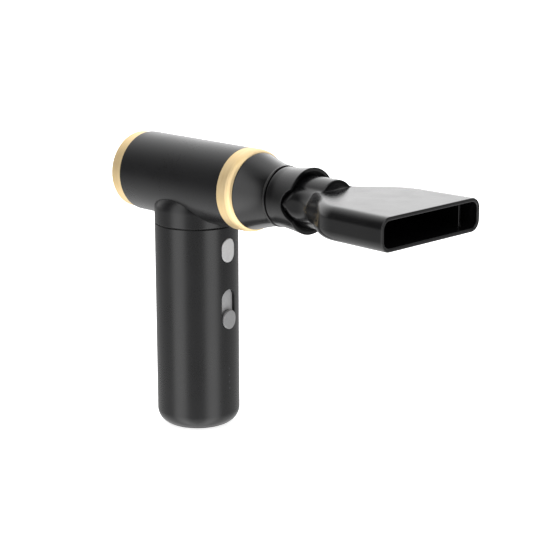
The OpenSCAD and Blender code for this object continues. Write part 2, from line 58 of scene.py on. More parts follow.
back = Vector((math.sin(AZIMUTH) * math.cos(ELEVATION),
               -math.cos(AZIMUTH) * math.cos(ELEVATION),
               math.sin(ELEVATION)))
camera_data = bpy.data.cameras.new("camera")
camera_data.lens = CAMERA_LENS
camera_data.sensor_width = SENSOR_WIDTH
camera = bpy.data.objects.new("camera", camera_data)
camera.location = CAMERA_TARGET + back * CAMERA_DISTANCE
camera.rotation_mode = "QUATERNION"
camera.rotation_quaternion = (-back).to_track_quat("-Z", "Y")
scene.collection.objects.link(camera)
scene.camera = camera
scene.view_settings.view_transform = "Standard"


def linear(hex_colour):
    """An sRGB hex colour as linear RGBA."""
    parts = [int(hex_colour[i:i + 2], 16) / 255 for i in (1, 3, 5)]
    return tuple(c / 12.92 if c <= 0.04045 else ((c + 0.055) / 1.055) ** 2.4 for c in parts) + (1,)


def add(tree, kind, inputs=None, **settings):
    """Adds a node, sets its properties and fills its inputs with values or other nodes' outputs."""
    node = tree.nodes.new(kind)
    for name, value in settings.items():
        setattr(node, name, value)
    for name, value in (inputs or {}).items():
        if isinstance(value, bpy.types.NodeSocket):
            tree.links.new(value, node.inputs[name])
        else:
            node.inputs[name].default_value = value
    return node


DARK_ROOM = 0.1
TABLE_GLOW = 1.35
COVE_GLOW = 2.0
CEILING_GLOW = 0.9
STRIP_GLOW = 1.7
STRIP_AZIMUTHS = (-5, 88)
STRIP_CORE = 10
STRIP_FADE = 24
SHOWN_GLOW = 1.05

world = bpy.data.worlds.new("light_tent")
scene.world = world
world.use_nodes = True
sky = world.node_tree
sky.nodes.clear()
way = add(sky, "ShaderNodeTexCoord").outputs["Generated"]
height = add(sky, "ShaderNodeSeparateXYZ", {0: way}).outputs["Z"]
level_way = add(sky, "ShaderNodeVectorMath", {0: way, 1: (1, 1, 0)}, operation="MULTIPLY").outputs[0]
level_way = add(sky, "ShaderNodeVectorMath", {0: level_way}, operation="NORMALIZE").outputs[0]
cove_way = (-math.sin(AZIMUTH), math.cos(AZIMUTH), 0.0)
toward_cove = add(sky, "ShaderNodeVectorMath", {0: way, 1: cove_way},
                  operation="DOT_PRODUCT").outputs["Value"]
cove = add(sky, "ShaderNodeMapRange", {"Value": toward_cove, "From Min": 0.12, "From Max": 0.95,
                                       "To Min": 0.0, "To Max": COVE_GLOW - DARK_ROOM}).outputs["Result"]
above = add(sky, "ShaderNodeMapRange", {"Value": height, "From Min": -0.12, "From Max": 0.1},
            interpolation_type="SMOOTHSTEP").outputs["Result"]
cove = add(sky, "ShaderNodeMath", {0: cove, 1: above}, operation="MULTIPLY").outputs[0]
table = add(sky, "ShaderNodeMapRange", {"Value": height, "From Min": 0.05, "From Max": -0.8,
                                        "To Min": 0.0, "To Max": TABLE_GLOW - DARK_ROOM}).outputs["Result"]
ceiling = add(sky, "ShaderNodeMapRange", {"Value": height, "From Min": 0.7, "From Max": 1.0,
                                          "To Min": 0.0, "To Max": CEILING_GLOW - DARK_ROOM},
              interpolation_type="SMOOTHSTEP").outputs["Result"]
glow = add(sky, "ShaderNodeMath", {0: cove, 1: table}, operation="ADD").outputs[0]
glow = add(sky, "ShaderNodeMath", {0: glow, 1: ceiling}, operation="ADD").outputs[0]
glow = add(sky, "ShaderNodeMath", {0: glow, 1: DARK_ROOM}, operation="ADD").outputs[0]
for strip_azimuth in STRIP_AZIMUTHS:
    turn = math.radians(strip_azimuth)
    strip_way = (math.sin(turn), -math.cos(turn), 0.0)
    toward_strip = add(sky, "ShaderNodeVectorMath", {0: level_way, 1: strip_way},
                       operation="DOT_PRODUCT").outputs["Value"]
    strip = add(sky, "ShaderNodeMapRange", {"Value": toward_strip,
                                            "From Min": math.cos(math.radians(STRIP_FADE)),
                                            "From Max": math.cos(math.radians(STRIP_CORE)),
                                            "To Min": 0.0, "To Max": STRIP_GLOW},
                interpolation_type="SMOOTHSTEP").outputs["Result"]
    glow = add(sky, "ShaderNodeMath", {0: glow, 1: strip}, operation="ADD").outputs[0]
seen = add(sky, "ShaderNodeLightPath").outputs["Is Camera Ray"]
shown = add(sky, "ShaderNodeMix", {"Factor": seen, "A": glow, "B": SHOWN_GLOW}).outputs["Result"]
lamp = add(sky, "ShaderNodeBackground", {"Color": (1, 1, 1, 1), "Strength": shown})
add(sky, "ShaderNodeOutputWorld", {"Surface": lamp.outputs[0]})

# The table's own light reaches the tool through the tent, so only the camera sees the sheet.
TABLE_HALF = 12.0
sheet_mesh = bpy.data.meshes.new("opal_table")
sheet_mesh.from_pydata([(-TABLE_HALF, -TABLE_HALF, 0), (TABLE_HALF, -TABLE_HALF, 0),
                        (TABLE_HALF, TABLE_HALF, 0), (-TABLE_HALF, TABLE_HALF, 0)], [], [(0, 1, 2, 3)])
sheet = bpy.data.objects.new("opal_table", sheet_mesh)
scene.collection.objects.link(sheet)
sheet.visible_diffuse = False
sheet.visible_glossy = False
sheet.visible_transmission = False
sheet.visible_shadow = False
opal = bpy.data.materials.new("white_opal_acrylic")
opal.use_nodes = True
opal_surface = opal.node_tree.nodes["Principled BSDF"]
opal_surface.inputs["Base Color"].default_value = linear("#f4f4f4")
opal_surface.inputs["Roughness"].default_value = 0.6
opal_surface.inputs["Emission Color"].default_value = (1, 1, 1, 1)
opal_surface.inputs["Emission Strength"].default_value = 0.8
sheet_mesh.materials.append(opal)

# ---------------------------------------------------------------- handle tube
# The grip: a drawn aluminium tube with a rolled lower edge and openings for the button,
# the speed slide, four charge lights and the socket. Bead blasted, then anodised black.

MM = 0.001
TURN = math.radians(6)
HANDLE_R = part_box("handle_shell")[1][0]
HANDLE_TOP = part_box("handle_shell")[1][2]
BASE_ROUND = 8.2 * MM
TUBE_WALL = 1.6 * MM
TUBE_IN = HANDLE_R - TUBE_WALL
FLAT_R = HANDLE_R - BASE_ROUND
PLUG_R = 17.9 * MM
CAP_SEAM = 52
AROUND = 192
CONTROL_W = 10 * MM
CONTROL_GAP = 0.2 * MM
BUTTON_Z = 99.3 * MM
BUTTON_H = 13.1 * MM
SLOT_Z = 56 * MM
SLOT_H = 21.9 * MM
LIGHT_Z = 22.5 * MM
LIGHT_PITCH = 3.7 * MM
LIGHT_R = 0.6 * MM
SOCKET_Z = 9 * MM
SOCKET_W = 9 * MM
SOCKET_H = 3.2 * MM
PLUG_TOP = 2.67 * MM
HOLE_EDGE = 0.25 * MM


def arc(centre, radius, start, end, steps):
    """Points of an arc about a centre (a, b), from one angle in degrees to another."""
    turns = [math.radians(start + (end - start) * k / steps) for k in range(steps + 1)]
    return [(centre[0] + radius * math.cos(t), centre[1] + radius * math.sin(t)) for t in turns]


def soften(corners, steps=4):
    """A closed outline whose corners given as (a, b, radius) are rounded; plain points stay."""
    outline = []
    for i, corner in enumerate(corners):
        here = Vector(corner[:2])
        if len(corner) == 2:
            outline.append(here)
            continue
        to_last = Vector(corners[i - 1][:2]) - here
        to_next = Vector(corners[(i + 1) % len(corners)][:2]) - here
        half = to_last.angle(to_next) / 2
        run = min(corner[2] / math.tan(half), 0.45 * to_last.length, 0.45 * to_next.length)
        middle = here + (to_last.normalized() + to_next.normalized()).normalized() * run / math.cos(half)
        start = here + to_last.normalized() * run - middle
        end = here + to_next.normalized() * run - middle
        for k in range(steps + 1):
            t = k / steps
            spoke = start * (1 - t) + end * t
            outline.append(middle + spoke.normalized() * start.length)
    return outline


def about_handle(turn, radius, along):
    """A point at a height, a radius and a turn about the handle's axis."""
    return (radius * math.cos(turn), radius * math.sin(turn), along)


def ring_mesh(name, rings, closed=True):
    """Joins rings of points, each a closed loop, into a skin: closed on itself, or capped."""
    mesh = bpy.data.meshes.new(name)
    shell = bmesh.new()
    loops = [[shell.verts.new(p) for p in ring] for ring in rings]
    count = len(loops[0])
    for k in range(len(loops) if closed else len(loops) - 1):
        near, far = loops[k], loops[(k + 1) % len(loops)]
        for i in range(count):
            j = (i + 1) % count
            shell.faces.new((near[i], near[j], far[j], far[i]))
    if not closed:
        shell.faces.new(loops[0])
        shell.faces.new(loops[-1])
    bmesh.ops.remove_doubles(shell, verts=shell.verts, dist=1e-7)
    bmesh.ops.dissolve_degenerate(shell, edges=shell.edges, dist=1e-7)
    bmesh.ops.recalc_face_normals(shell, faces=shell.faces)
    shell.to_mesh(mesh)
    shell.free()
    return mesh


def turned_mesh(name, outline, place, steps=AROUND):
    """A closed outline of (radius, along) points turned about an axis."""
    return ring_mesh(name, [[place(math.tau * k / steps, r, s) for r, s in outline] for k in range(steps)])


def joined(name, meshes):
    """Several meshes as one."""
    whole = bmesh.new()
    for mesh in meshes:
        whole.from_mesh(mesh)
    mesh = bpy.data.meshes.new(name)
    whole.to_mesh(mesh)
    whole.free()
    return mesh


def carved(mesh, cutters, edge):
    """Cuts the cutters' space out of a mesh and breaks the new edges with a small bevel."""
    body = bpy.data.objects.new("stock", mesh)
    tool = bpy.data.objects.new("tool", joined("tool", cutters))
    for part in (body, tool):
        scene.collection.objects.link(part)
    cut = body.modifiers.new("cut", "BOOLEAN")
    cut.operation = "DIFFERENCE"
    cut.solver = "EXACT"
    cut.object = tool
    bevel = body.modifiers.new("broken_edge", "BEVEL")
    bevel.width = edge
    bevel.segments = 3
    bevel.limit_method = "ANGLE"
    bevel.angle_limit = math.radians(38)
    result = bpy.data.meshes.new_from_object(body.evaluated_get(bpy.context.evaluated_depsgraph_get()))
    for part in (body, tool):
        bpy.data.objects.remove(part)
    result.name = mesh.name
    return result


def fitted(name, mesh, body, stands_for, finish):
    """Links a mesh as a piece that rides on a body in place of a CAD node, with its finish."""
    piece = bpy.data.objects.new(name, mesh)
    scene.collection.objects.link(piece)
    mesh.materials.clear()
    mesh.materials.append(finish)
    mesh.polygons.foreach_set("use_smooth", [True] * len(mesh.polygons))
    piece.modifiers.new("even_shading", "WEIGHTED_NORMAL").weight = 100
    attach(piece, body)
    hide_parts(stands_for)
    return piece


def rounded_outline(width, tall, radius, steps=12):
    """A rounded rectangle, or a stadium when the radius is half its width, centred on (0, 0)."""
    outline = []
    for side, up, start in ((1, 1, 0), (-1, 1, 90), (-1, -1, 180), (1, -1, 270)):
        centre = (side * (width / 2 - radius), up * (tall / 2 - radius))
        outline += arc(centre, radius, start, start + 90, steps)
    return outline


def prism(name, outline, depths, place):
    """A straight bar of an outline of (across, up) points between two depths."""
    return ring_mesh(name, [[place(d, a, b) for a, b in outline] for d in depths], closed=False)


def handle_hole(width, tall, z, depths=(15 * MM, 30 * MM)):
    """A stadium cutter on the handle's front, or on its back where the depths are negative."""
    def place(depth, across, up):
        return (depth * math.cos(TURN) - across * math.sin(TURN),
                depth * math.sin(TURN) + across * math.cos(TURN), z + up)
    return prism("hole", rounded_outline(width, tall, min(width, tall) / 2), depths, place)


def grained(name, dark, light, grain, roughness, relief, stretch=(1, 1, 1), spread=0.04, metallic=0.0,
            cloud=18 * MM):
    """A finish whose colour, gloss and relief vary with one fine grain under broad clouding."""
    finish = bpy.data.materials.new(name)
    finish.use_nodes = True
    tree = finish.node_tree
    surface = tree.nodes["Principled BSDF"]
    where = add(tree, "ShaderNodeTexCoord").outputs["Object"]
    along = add(tree, "ShaderNodeVectorMath", {0: where, 1: stretch}, operation="MULTIPLY").outputs[0]
    fine = add(tree, "ShaderNodeTexNoise", {"Vector": along, "Scale": 1 / grain,
                                            "Detail": 2.0}).outputs["Fac"]
    broad = add(tree, "ShaderNodeTexNoise", {"Vector": where, "Scale": 1 / cloud,
                                             "Detail": 3.0}).outputs["Fac"]
    mixed = add(tree, "ShaderNodeMath", {0: fine, 1: broad}, operation="ADD").outputs[0]
    tone = add(tree, "ShaderNodeMapRange", {"Value": mixed, "From Min": 0.75,
                                            "From Max": 1.25}).outputs["Result"]
    colour = add(tree, "ShaderNodeMix", {0: tone, 6: linear(dark), 7: linear(light)},
                 data_type="RGBA").outputs[2]
    gloss = add(tree, "ShaderNodeMapRange", {"Value": tone, "To Min": roughness - spread,
                                             "To Max": roughness + spread}).outputs["Result"]
    bump = add(tree, "ShaderNodeBump", {"Height": fine, "Distance": relief,
                                        "Strength": 0.6}).outputs["Normal"]
    tree.links.new(colour, surface.inputs["Base Color"])
    tree.links.new(gloss, surface.inputs["Roughness"])
    tree.links.new(bump, surface.inputs["Normal"])
    surface.inputs["Metallic"].default_value = metallic
    return finish


# Anodised aluminium, bead blasted and dyed black: a dense matte black oxide whose fine
# dimples spread each light into a soft band. The grit marks, 0.1 mm, are drawn at 0.5 mm.
black_anodised = grained("black_anodised_aluminium", "#0b0b0c", "#111113", 0.5 * MM, 0.3, 0.012 * MM,
                         cloud=25 * MM)

seam_turn = math.radians(CAP_SEAM)
seam_z = BASE_ROUND * (1 - math.sin(seam_turn))
outline = [(FLAT_R + BASE_ROUND * math.cos(seam_turn), seam_z, 0.12 * MM)]
outline += arc((FLAT_R, BASE_ROUND), BASE_ROUND, -CAP_SEAM + 3, 0, 16)
outline += [(HANDLE_R, HANDLE_TOP, 0.3 * MM), (TUBE_IN, HANDLE_TOP, 0.2 * MM)]
outline += arc((FLAT_R, BASE_ROUND), BASE_ROUND - TUBE_WALL, 0, -57, 10)
outline += [(PLUG_R, PLUG_TOP), (PLUG_R, seam_z)]
tube = turned_mesh("handle_tube", soften(outline), about_handle)
holes = [handle_hole(CONTROL_W + 2 * CONTROL_GAP, BUTTON_H + 2 * CONTROL_GAP, BUTTON_Z),
         handle_hole(CONTROL_W + 2 * CONTROL_GAP, SLOT_H, SLOT_Z + SLOT_H / 2),
         handle_hole(SOCKET_W, SOCKET_H, SOCKET_Z, (-15 * MM, -30 * MM))]
holes += [handle_hole(2 * LIGHT_R, 2 * LIGHT_R, LIGHT_Z + i * LIGHT_PITCH) for i in range(4)]
fitted("handle_tube", carved(tube, holes, HOLE_EDGE), "housing", "handle_shell", black_anodised)

# ---------------------------------------------------------------- base cap
# The foot: one ABS moulding pressed into the tube's end and held by three screws from
# below. Its edge carries on the tube's round, with a fine seam between them.

CAP_EDGE = 55
CAP_SCREW_RING = 12 * MM
SCREW_SINK = 1.7 * MM
SCREW_HEAD_R = 2.1 * MM
SCREW_SHANK_R = 1.05 * MM
CAP_TOP = 3.2 * MM
CAP_CHAMFER = 0.6 * MM

# ABS moulded in a spark-eroded tool: a dull even pebble, 0.3 mm across, drawn at 0.6 mm.
cap_abs = grained("spark_textured_abs", "#101011", "#18181a", 0.6 * MM, 0.5, 0.03 * MM)

edge_turn = math.radians(CAP_EDGE)
edge_z = BASE_ROUND * (1 - math.sin(edge_turn))
outline = [(0, 0)] + arc((FLAT_R, BASE_ROUND), BASE_ROUND, -90, -CAP_EDGE - 2, 14)
outline += [(FLAT_R + BASE_ROUND * math.cos(edge_turn), edge_z, 0.12 * MM)]
outline += [(PLUG_R, edge_z), (PLUG_R, CAP_TOP - CAP_CHAMFER), (PLUG_R - CAP_CHAMFER, CAP_TOP),
            (0, CAP_TOP)]
cap = turned_mesh("base_cap", soften(outline), about_handle)
wells = []
for angle in (0, 120, 240):
    turn = TURN + math.radians(angle)
    x, y = CAP_SCREW_RING * math.cos(turn), CAP_SCREW_RING * math.sin(turn)
    for radius, top in ((SCREW_HEAD_R, SCREW_SINK), (SCREW_SHANK_R, CAP_TOP + 0.8 * MM)):
        wells.append(ring_mesh("well", [[(x + a, y + b, z) for a, b in arc((0, 0), radius, 0, 352.5, 47)]
                                        for z in (-1 * MM, top)], closed=False))
fitted("base_cap", carved(cap, wells, 0.2 * MM), "housing", "base_cap", cap_abs)

# ---------------------------------------------------------------- neck
# The saddle: an aluminium casting that plugs into the tube and is screwed to the barrel,
# its mouth cut to the barrel's round. A thin rubber gasket stands in the joint below it.

NECK_Z = HANDLE_TOP + 0.6 * MM
NECK_ROUND = 10.4 * MM
NECK_ROUND_Z = 119.9 * MM
NECK_TOP = 129 * MM
NECK_FOOT = 104 * MM
NECK_IN = 17 * MM
BARREL_R = 21.5 * MM
BARREL_REACH = 40 * MM
BARREL_Z = 135.2 * MM


def about_barrel(turn, radius, along):
    """A point along the barrel's axis, at a radius and a turn from level on the far side."""
    return (along, radius * math.cos(turn), BARREL_Z + radius * math.sin(turn))


tuck_end = math.degrees(math.asin((NECK_TOP - NECK_ROUND_Z) / NECK_ROUND))
outline = [(NECK_IN, NECK_FOOT), (TUBE_IN, NECK_FOOT), (TUBE_IN, NECK_Z), (HANDLE_R, NECK_Z, 0.3 * MM)]
outline += arc((HANDLE_R - NECK_ROUND, NECK_ROUND_Z), NECK_ROUND, 0, tuck_end, 24)
outline += [(NECK_IN, NECK_TOP)]
saddle = turned_mesh("neck_saddle", soften(outline), about_handle)
rings = [[about_barrel(math.tau * k / AROUND, BARREL_R + 0.03 * MM, x) for k in range(AROUND)]
         for x in (-BARREL_REACH, BARREL_REACH)]
barrel_space = ring_mesh("barrel_space", rings, closed=False)
fitted("neck_saddle", carved(saddle, [barrel_space], 0.2 * MM), "housing", "neck_saddle", black_anodised)

# Moulded nitrile rubber: dead black and soft edged, with a faint talc bloom.
soft_rubber = grained("moulded_nitrile_rubber", "#070707", "#0e0e0e", 0.8 * MM, 0.7, 0.02 * MM)

BEAD = 0.3 * MM
bead_r = HANDLE_R - 0.55 * MM
outline = [(TUBE_IN, HANDLE_TOP), (bead_r - 0.4 * MM, HANDLE_TOP)]
outline += arc((bead_r, HANDLE_TOP + BEAD / 2), BEAD / 2, -90, 90, 6)
outline += arc((bead_r, HANDLE_TOP + 1.5 * BEAD), BEAD / 2, -90, 90, 6)
outline += [(bead_r - 0.4 * MM, HANDLE_TOP + 2 * BEAD), (TUBE_IN, HANDLE_TOP + 2 * BEAD)]
fitted("neck_gasket", turned_mesh("neck_gasket", soften(outline), about_handle), "housing", "neck_gasket",
       soft_rubber)

# ---------------------------------------------------------------- barrel
# The fan's casing: a straight aluminium tube, turned, blasted and anodised like the grip,
# with a hole below for the motor leads and two for the neck's screws.

BARREL_IN = 20 * MM
BARREL_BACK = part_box("barrel_shell")[0][0]
BARREL_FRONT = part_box("barrel_shell")[1][0]
EDGE = 0.25 * MM
LEAD_BORE_R = 6 * MM
SCREW_BORE_R = 1.2 * MM
SCREW_X = 19 * MM
BORE_BOTTOM = 108 * MM
BORE_TOP = 125 * MM


def upright_bore(x, radius):
    """An upright round cutter through the barrel's underside."""
    return ring_mesh("bore", [[(x + a, b, z) for a, b in arc((0, 0), radius, 0, 354, 59)]
                              for z in (BORE_BOTTOM, BORE_TOP)], closed=False)


outline = [(BARREL_IN, BARREL_BACK, EDGE), (BARREL_R, BARREL_BACK, EDGE),
           (BARREL_R, BARREL_FRONT, EDGE), (BARREL_IN, BARREL_FRONT, EDGE)]
barrel = turned_mesh("barrel", soften(outline), about_barrel)
bores = [upright_bore(0, LEAD_BORE_R)]
bores += [upright_bore(x, SCREW_BORE_R) for x in (-SCREW_X, SCREW_X)]
fitted("barrel", carved(barrel, bores, 0.15 * MM), "housing", "barrel_shell", black_anodised)

# ---------------------------------------------------------------- gold rings
# Two trim rings pressed on the barrel's ends: turned aluminium, anodised pale gold. The
# front one has a rounded nose; the rear one holds the intake grille.

RING_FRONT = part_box("front_ring")[1][0]
RING_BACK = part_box("rear_ring")[0][0]
SLEEVE_R = 18.6 * MM
NOSE_RUN = 3.6 * MM
INTAKE_R = 17.6 * MM
GRILLE_SEAT_R = 18.8 * MM
GRILLE_BACK = -40 * MM
REAR_SLEEVE_END = -33 * MM

# Anodised aluminium, fine turned and dyed champagne: the turning marks run round the ring
# and smear its lights along it. Their 0.1 mm pitch is drawn at 0.4 mm.
gold_anodised = grained("gold_anodised_aluminium", "#ecd09a", "#f5deb2", 0.4 * MM, 0.5, 0.008 * MM,
                        stretch=(1, 0.03, 0.03), spread=0.05, metallic=1.0)

outline = [(SLEEVE_R, BARREL_FRONT), (BARREL_R + 0.1 * MM, BARREL_FRONT, 0.2 * MM)]
outline += [(BARREL_R + 0.1 * MM, RING_FRONT - NOSE_RUN, 0.8 * MM),
            (21.3 * MM, RING_FRONT - 2.1 * MM, 1.2 * MM),
            (20.75 * MM, RING_FRONT - 0.8 * MM, 0.9 * MM), (20.1 * MM, RING_FRONT, 0.35 * MM),
            (SLEEVE_R, RING_FRONT, 0.2 * MM)]
fitted("front_ring", turned_mesh("front_ring", soften(outline, 6), about_barrel), "housing", "front_ring",
       gold_anodised)

outline = [(INTAKE_R, RING_BACK, 0.2 * MM), (20.2 * MM, RING_BACK, 0.3 * MM),
           (20.75 * MM, RING_BACK + 0.6 * MM, 0.5 * MM), (20.95 * MM, BARREL_BACK, 0.2 * MM),
           (BARREL_IN, BARREL_BACK), (BARREL_IN, REAR_SLEEVE_END), (GRILLE_SEAT_R, REAR_SLEEVE_END),
           (GRILLE_SEAT_R, GRILLE_BACK), (INTAKE_R, GRILLE_BACK - 1.4 * MM)]
fitted("rear_ring", turned_mesh("rear_ring", soften(outline, 6), about_barrel), "housing", "rear_ring",
       gold_anodised)

# ---------------------------------------------------------------- button and speed slide
# Two grey controls in the grip's front, both curved like the tube: a power button that is
# pushed in, and a thumb piece on a sliding plate. Both are moulded ABS, painted satin.

# Painted ABS with a slight orange peel, about 1 mm across: silver for the button, a mid
# grey for the slide's plate and a darker soft-touch grey for its thumb piece.
silver_lacquer = grained("silver_lacquered_abs", "#c4c4c5", "#cececf", 1.0 * MM, 0.44, 0.012 * MM,
                         cloud=12 * MM)
grey_lacquer = grained("grey_lacquered_abs", "#a6a6a7", "#b1b1b2", 1.0 * MM, 0.46, 0.012 * MM,
                       cloud=12 * MM)
soft_touch = grained("soft_touch_lacquer", "#8b8b8c", "#969697", 0.7 * MM, 0.55, 0.012 * MM,
                     cloud=12 * MM)


def bowed(radius, middle_z):
    """Wraps (depth, across, up) points onto a cylinder about the handle's axis."""
    def place(depth, across, up):
        turn = TURN + across / radius
        return ((radius - depth) * math.cos(turn), (radius - depth) * math.sin(turn), middle_z + up)
    return place


def pad_mesh(name, width, tall, corner, thick, edge, place):
    """A pad with a rounded front edge, its face laid out in rings so that it can bow."""
    insets = [(thick, 0.0), (edge, 0.0)]
    insets += [(edge * (1 - math.sin(math.radians(a))), edge * (1 - math.cos(math.radians(a))))
               for a in range(15, 91, 15)]
    reach = min(width, tall) / 2
    insets += [(0.0, edge + (reach - edge) * k / 6) for k in range(1, 6)]
    insets += [(0.0, reach - 0.02 * MM)]
    rings = []
    for depth, inset in insets:
        outline = rounded_outline(width - 2 * inset, tall - 2 * inset, max(corner - inset, 0.01 * MM), 10)
        rings.append([place(depth, a, b) for a, b in outline])
    return ring_mesh(name, rings, closed=False)


BUTTON_R = HANDLE_R + 0.2 * MM
THUMB_R = HANDLE_R + 1.0 * MM
THUMB_H = 10.4 * MM
PLATE_R = TUBE_IN - 0.15 * MM
PLATE_W = 12.4 * MM
PLATE_H = 35 * MM
PLATE_Z = SLOT_Z - 11.5 * MM

button = joined("power_button", [
    pad_mesh("face", CONTROL_W, BUTTON_H, CONTROL_W / 2, 3.4 * MM, 0.45 * MM, bowed(BUTTON_R, BUTTON_Z)),
    pad_mesh("flange", CONTROL_W + 1.2 * MM, BUTTON_H + 1.4 * MM, CONTROL_W / 2, 1.0 * MM, 0.2 * MM,
             bowed(TUBE_IN - 0.2 * MM, BUTTON_Z))])
fitted("power_button", button, "button", "power_button", silver_lacquer)

thumb = pad_mesh("thumb", CONTROL_W, THUMB_H, CONTROL_W / 2, 3.2 * MM, 0.5 * MM,
                 bowed(THUMB_R, SLOT_Z + 0.1 * MM + THUMB_H / 2))
plate = pad_mesh("plate", PLATE_W, PLATE_H, 1.5 * MM, 1.2 * MM, 0.15 * MM,
                 bowed(PLATE_R, PLATE_Z + PLATE_H / 2))
fitted("slide_thumb", thumb, "slider", "slider_knob", soft_touch)
fitted("slide_plate", plate, "slider", "slider_knob", grey_lacquer)

# ---------------------------------------------------------------- adapter
# The pull-off adapter: one black moulding that plugs into the outlet behind a red seal
# and narrows in a hollow curve to a bead, where the turning nozzle's collar meets it.

ADAPTER_LIP = RING_FRONT + 0.1 * MM
ADAPTER_R = 20 * MM
SEAM = 67.4 * MM
SEAM_R = 15.45 * MM
SEAM_GAP = 0.35 * MM
SPIGOT_R = 13.4 * MM
SPIGOT_END = 79 * MM
FLARE = 1.35
BEAD_X = SEAM - 1.15 * MM
BEAD_X_R = 15.3 * MM
BEAD_ROUND = 0.6 * MM
FLARE_END = SEAM - 2 * MM
STOPPER_R = 17.1 * MM
GROOVE_R = 15.9 * MM
GROOVE = (39 * MM, 41 * MM)
STOPPER_BACK = 35 * MM
ADAPTER_IN = 15.6 * MM
SPIGOT_IN = 12.2 * MM


def flare_r(x):
    """The adapter's outer radius, falling from its lip to the seam in a hollow curve."""
    t = (x - ADAPTER_LIP) / (SEAM - SEAM_GAP - ADAPTER_LIP)
    return SEAM_R + (ADAPTER_R - SEAM_R) * (1 - min(1, t)) ** FLARE


# Injection moulded black polypropylene: a satin skin with soft broad highlights, faint flow
# clouding and a 0.3 mm tool texture, drawn at 0.5 mm.
nozzle_plastic = grained("moulded_black_polypropylene", "#0a0a0b", "#101011", 0.5 * MM, 0.21, 0.004 * MM,
                         cloud=14 * MM, spread=0.03)

outline = [(ADAPTER_IN, STOPPER_BACK), (STOPPER_R - 0.5 * MM, STOPPER_BACK),
           (STOPPER_R, STOPPER_BACK + 0.8 * MM), (STOPPER_R, GROOVE[0]), (GROOVE_R, GROOVE[0]),
           (GROOVE_R, GROOVE[1]), (STOPPER_R, GROOVE[1]), (STOPPER_R, ADAPTER_LIP),
           (ADAPTER_R, ADAPTER_LIP, 0.3 * MM)]
for k in range(1, 25):
    x = ADAPTER_LIP + (FLARE_END - ADAPTER_LIP) * k / 24
    outline.append((flare_r(x), x))
outline += arc((BEAD_X_R, BEAD_X), BEAD_ROUND, -60, 80, 10)
outline += [(SPIGOT_R, SEAM - SEAM_GAP), (SPIGOT_R, SPIGOT_END, 0.2 * MM),
            (SPIGOT_IN, SPIGOT_END, 0.2 * MM), (SPIGOT_IN, 66 * MM), (ADAPTER_IN, 50 * MM)]
fitted("nozzle_adapter", turned_mesh("nozzle_adapter", soften(outline), about_barrel), "adapter",
       "nozzle_adapter", nozzle_plastic)

# ---------------------------------------------------------------- nozzle collar
# The sleeve that snaps on the adapter and turns on it. Its front edge is scooped away on
# both sides, which leaves a lobe above and below the nozzle's round neck.

COLLAR_END = 85 * MM
COLLAR_R = 17.1 * MM
NECK_PIPE_R = 13.2 * MM
SCOOP_X = 88 * MM
SCOOP_R = 9 * MM
COLLAR_LIP = 0.35 * MM
COLLAR_FLARE_X = 71 * MM


def collar_end(turn):
    """How far the collar reaches along the barrel's axis in one direction."""
    off = COLLAR_R * abs(math.sin(turn))
    if off >= SCOOP_R:
        return COLLAR_END
    return min(COLLAR_END, SCOOP_X - math.sqrt(SCOOP_R ** 2 - off ** 2))


def collar_r(x):
    """The collar's outer radius, which opens out towards its front edge."""
    t = max(0, (x - COLLAR_FLARE_X) / (COLLAR_END - COLLAR_FLARE_X))
    return SEAM_R + (COLLAR_R - SEAM_R) * t ** 1.3


start = SEAM + SEAM_GAP
rings = []
for k in range(AROUND):
    turn = math.tau * (k + 0.5) / AROUND
    end = collar_end(turn)
    bore = NECK_PIPE_R + 0.02 * MM if end > SPIGOT_END + 0.2 * MM else SPIGOT_R + 0.1 * MM
    corners = [(SPIGOT_R + 0.1 * MM, start), (SEAM_R, start, COLLAR_LIP)]
    for i in range(16):
        x = start + (end - 0.6 * MM - start) * (i + 1) / 16
        corners.append((collar_r(x), x))
    corners += [(collar_r(end), end, COLLAR_LIP), (collar_r(end) - 1.7 * MM, end - 0.1 * MM, 0.3 * MM)]
    corners += [(bore + 0.3 * MM, end - 1.3 * MM, 0.3 * MM), (bore, end - 1.4 * MM)]
    rings.append([about_barrel(turn, r, x) for r, x in soften(corners)])
fitted("nozzle_collar", ring_mesh("nozzle_collar", rings), "nozzle", "nozzle_collar", nozzle_plastic)

# ---------------------------------------------------------------- flat nozzle
# The fishtail: one moulding that goes from a round neck to a flat mouth 72 mm wide. The
# flat body's rear end is two wings that lie in the collar's scoops, the round neck stops
# in a step above them, and two ribs inside the mouth keep its long walls apart.

MOUTH_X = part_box("flat_nozzle")[1][0]
MOUTH_HALF_W = 36 * MM
MOUTH_HALF_H = 8.4 * MM
MOUTH_ROUND = 5.8 * MM
NOZZLE_WALL = 1.9 * MM
NECK_START = 79.2 * MM
NECK_END = 102 * MM
NECK_EDGE = 0.9 * MM
STEP_RUN = 2.4 * MM
DUCT_START = 85 * MM
SHOULDER_START = 89 * MM
SHOULDER_END = 130 * MM
SHOULDER_W = 15.2 * MM
WAIST_W = 35 * MM
CORNER_END = 118 * MM
WING_R = SCOOP_R - 0.4 * MM
CREASE_Y = 9.4 * MM
CREASE = 1.6 * MM
LIP_ROUND = 0.55 * MM
RIB_BACK = 136 * MM
RIB_FRONT = MOUTH_X - 7 * MM
RIB_Y = 29.3 * MM
RIB_T = 1.6 * MM
NOZZLE_AROUND = 208


def ease(t):
    """A smooth step from 0 to 1."""
    t = min(1, max(0, t))
    return t * t * (3 - 2 * t)


def widened(x, start, base):
    """How much the flat body widens towards the mouth, beyond its base width at the start."""
    shoulder = ease((x - start) / (SHOULDER_END - start))
    mouth = ease((x - SHOULDER_END) / (MOUTH_X - SHOULDER_END))
    return (WAIST_W - base) * shoulder + (MOUTH_HALF_W - WAIST_W) * mouth


def body_w(x):
    """Half the flat body's width."""
    return SHOULDER_W + widened(x, SHOULDER_START, SHOULDER_W)


